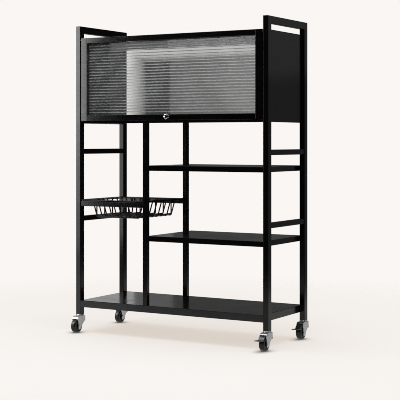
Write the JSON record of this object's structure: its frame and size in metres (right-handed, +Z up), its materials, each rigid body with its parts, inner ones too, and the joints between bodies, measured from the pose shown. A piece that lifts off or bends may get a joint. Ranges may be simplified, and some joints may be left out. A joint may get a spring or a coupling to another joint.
{
  "type": "rolling kitchen rack with cabinet and wire drawer",
  "caption": "Tall rolling kitchen rack in black steel: flip-up ribbed door cabinet, open shelves, a sliding wire drawer, handle rails and swivel casters.",
  "frame": {"origin": "on the floor, under the middle of the whole outline (casters and pedals included)", "axes": "+Z up, +X to the right when facing the door, -Y out of the front"},
  "size_m": [0.811, 0.3766, 1.133],
  "materials": {
    "frame_black": "satin black powder coat",
    "panel_black": "semi-gloss black powder coat on folded sheet",
    "door_black": "satin black powder coat",
    "wire_black": "black dip coat on wire",
    "ribbed_pane": "grey-tinted, horizontally ribbed, smooth back",
    "tape_black": "thin foam bonding tape",
    "stop_rubber": "matt rubber",
    "knob_chrome": "polished chrome plate",
    "steel_fasteners": "dark zinc plate",
    "plug_black": "moulded plastic",
    "caster_zinc": "bright zinc plate",
    "pedal_zinc": "bright zinc plate, worn",
    "wheel_hub": "moulded plastic",
    "wheel_tyre": "moulded rubber tread"
  },
  "bodies": {
    "rack": {"post_front_left": "frame_black", "post_rear_left": "frame_black", "post_front_right": "frame_black", "post_rear_right": "frame_black", "handle_left": "frame_black", "handle_right": "frame_black", "rungs_left": "frame_black", "rungs_right": "frame_black", "mid_post_front": "frame_black", "mid_post_rear": "frame_black", "rear_bar": "frame_black", "runner_left": "frame_black", "runner_right": "frame_black", "side_panel_left": "panel_black", "side_panel_right": "panel_black", "cabinet_floor": "panel_black", "cabinet_top": "panel_black", "shelf_base": "panel_black", "shelf_lower": "panel_black", "shelf_upper": "panel_black", "door_stops": "stop_rubber", "post_plugs": "plug_black", "shelf_bolts": "steel_fasteners", "caster_cups": "caster_zinc", "caster_stems": "caster_zinc"},
    "door": {"door_stile_left": "door_black", "door_stile_right": "door_black", "door_rail_top": "door_black", "door_rail_bottom": "door_black", "door_pane": "ribbed_pane", "door_pane_tape": "tape_black", "door_knob": "knob_chrome", "door_knob_screw": "steel_fasteners", "door_pivot_pins": "steel_fasteners"},
    "basket": {"basket_front_bar": "wire_black", "basket_rim": "wire_black", "basket_side_wires": "wire_black", "basket_end_wires": "wire_black", "basket_floor_wires": "wire_black"},
    "swivel_fl": {"caster_fork_fl": "caster_zinc", "caster_axle_fl": "caster_zinc"},
    "wheel_fl": {"caster_hub_fl": "wheel_hub", "caster_tyre_fl": "wheel_tyre"},
    "swivel_rl": {"caster_fork_rl": "caster_zinc", "caster_axle_rl": "caster_zinc"},
    "wheel_rl": {"caster_hub_rl": "wheel_hub", "caster_tyre_rl": "wheel_tyre"},
    "swivel_fr": {"caster_fork_fr": "caster_zinc", "caster_axle_fr": "caster_zinc"},
    "wheel_fr": {"caster_hub_fr": "wheel_hub", "caster_tyre_fr": "wheel_tyre"},
    "swivel_rr": {"caster_fork_rr": "caster_zinc", "caster_axle_rr": "caster_zinc"},
    "wheel_rr": {"caster_hub_rr": "wheel_hub", "caster_tyre_rr": "wheel_tyre"},
    "pedal_fr": {"brake_pedal_fr": "pedal_zinc"},
    "pedal_rr": {"brake_pedal_rr": "pedal_zinc"}
  },
  "joints": [
    {"name": "door_flip", "type": "hinge", "parent": "rack", "child": "door", "pos_m": [0, -0.11675, 1.081], "axis": [-1, 0, 0], "range_deg": [0, 90]},
    {"name": "basket_slide", "type": "slide", "parent": "rack", "child": "basket", "axis": [0, -1, 0], "range_m": [0, 0.22]},
    {"name": "caster_swivel_fl", "type": "hinge", "parent": "rack", "child": "swivel_fl", "pos_m": [-0.39, -0.11125, 0.0595], "axis": [0, 0, 1], "continuous": true},
    {"name": "wheel_roll_fl", "type": "hinge", "parent": "swivel_fl", "child": "wheel_fl", "pos_m": [-0.39, -0.13325, 0.025], "axis": [1, 0, 0], "continuous": true},
    {"name": "caster_swivel_rl", "type": "hinge", "parent": "rack", "child": "swivel_rl", "pos_m": [-0.39, 0.17375, 0.0595], "axis": [0, 0, 1], "continuous": true},
    {"name": "wheel_roll_rl", "type": "hinge", "parent": "swivel_rl", "child": "wheel_rl", "pos_m": [-0.39, 0.15175, 0.025], "axis": [1, 0, 0], "continuous": true},
    {"name": "caster_swivel_fr", "type": "hinge", "parent": "rack", "child": "swivel_fr", "pos_m": [0.39, -0.11125, 0.0595], "axis": [0, 0, 1], "continuous": true},
    {"name": "wheel_roll_fr", "type": "hinge", "parent": "swivel_fr", "child": "wheel_fr", "pos_m": [0.39, -0.13325, 0.025], "axis": [1, 0, 0], "continuous": true},
    {"name": "caster_swivel_rr", "type": "hinge", "parent": "rack", "child": "swivel_rr", "pos_m": [0.39, 0.17375, 0.0595], "axis": [0, 0, 1], "continuous": true},
    {"name": "wheel_roll_rr", "type": "hinge", "parent": "swivel_rr", "child": "wheel_rr", "pos_m": [0.39, 0.15175, 0.025], "axis": [1, 0, 0], "continuous": true},
    {"name": "brake_press_fr", "type": "hinge", "parent": "swivel_fr", "child": "pedal_fr", "pos_m": [0.39, -0.13525, 0.0533], "axis": [1, 0, 0], "range_deg": [0, 5]},
    {"name": "brake_press_rr", "type": "hinge", "parent": "swivel_rr", "child": "pedal_rr", "pos_m": [0.39, 0.14975, 0.0533], "axis": [1, 0, 0], "range_deg": [0, 5]}
  ]
}
